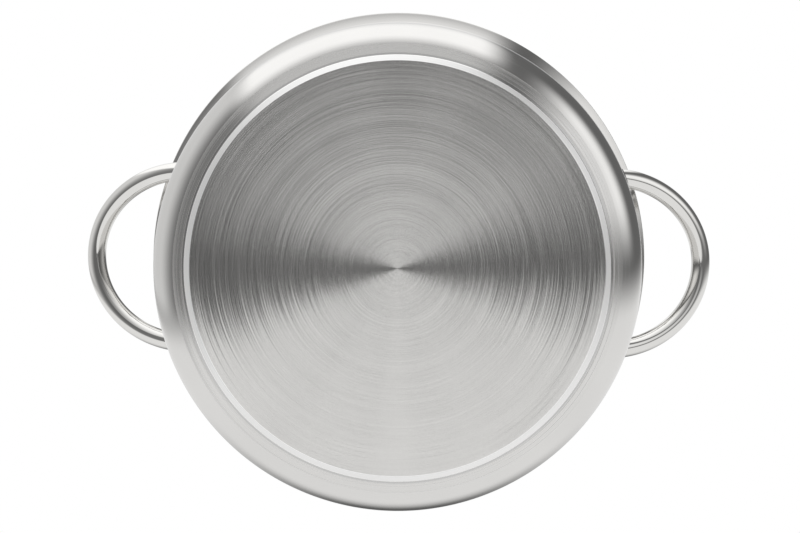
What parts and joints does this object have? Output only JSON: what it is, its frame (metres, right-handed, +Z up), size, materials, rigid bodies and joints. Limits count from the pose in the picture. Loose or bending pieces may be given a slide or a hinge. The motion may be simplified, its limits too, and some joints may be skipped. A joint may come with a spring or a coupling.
{
  "type": "stew pot",
  "caption": "Round steel stew pot with a straight wall, flared pouring rim, capped heat-spreading base and round-bar loop handles on weld plates.",
  "frame": {"origin": "centre of the base's underside, on the surface that the pot stands on", "axes": "+Z up through the mouth, X through both handles, +X at the right handle, -Y at the front"},
  "size_m": [0.3734, 0.2956, 0.165],
  "materials": {
    "shell_steel": "satin-polished stainless steel, turned on the bottom",
    "core_aluminium": "plain aluminium",
    "base_steel": "concentrically brushed magnetic stainless steel",
    "handle_steel": "polished stainless steel",
    "plate_steel": "satin stainless steel"
  },
  "bodies": {
    "root": {"pot_shell": "shell_steel", "heat_spreader_disc": "core_aluminium", "base_cap": "base_steel", "handle_left": "handle_steel", "handle_right": "handle_steel", "handle_plate_left_front": "plate_steel", "handle_plate_left_rear": "plate_steel", "handle_plate_right_front": "plate_steel", "handle_plate_right_rear": "plate_steel"}
  },
  "joints": []
}
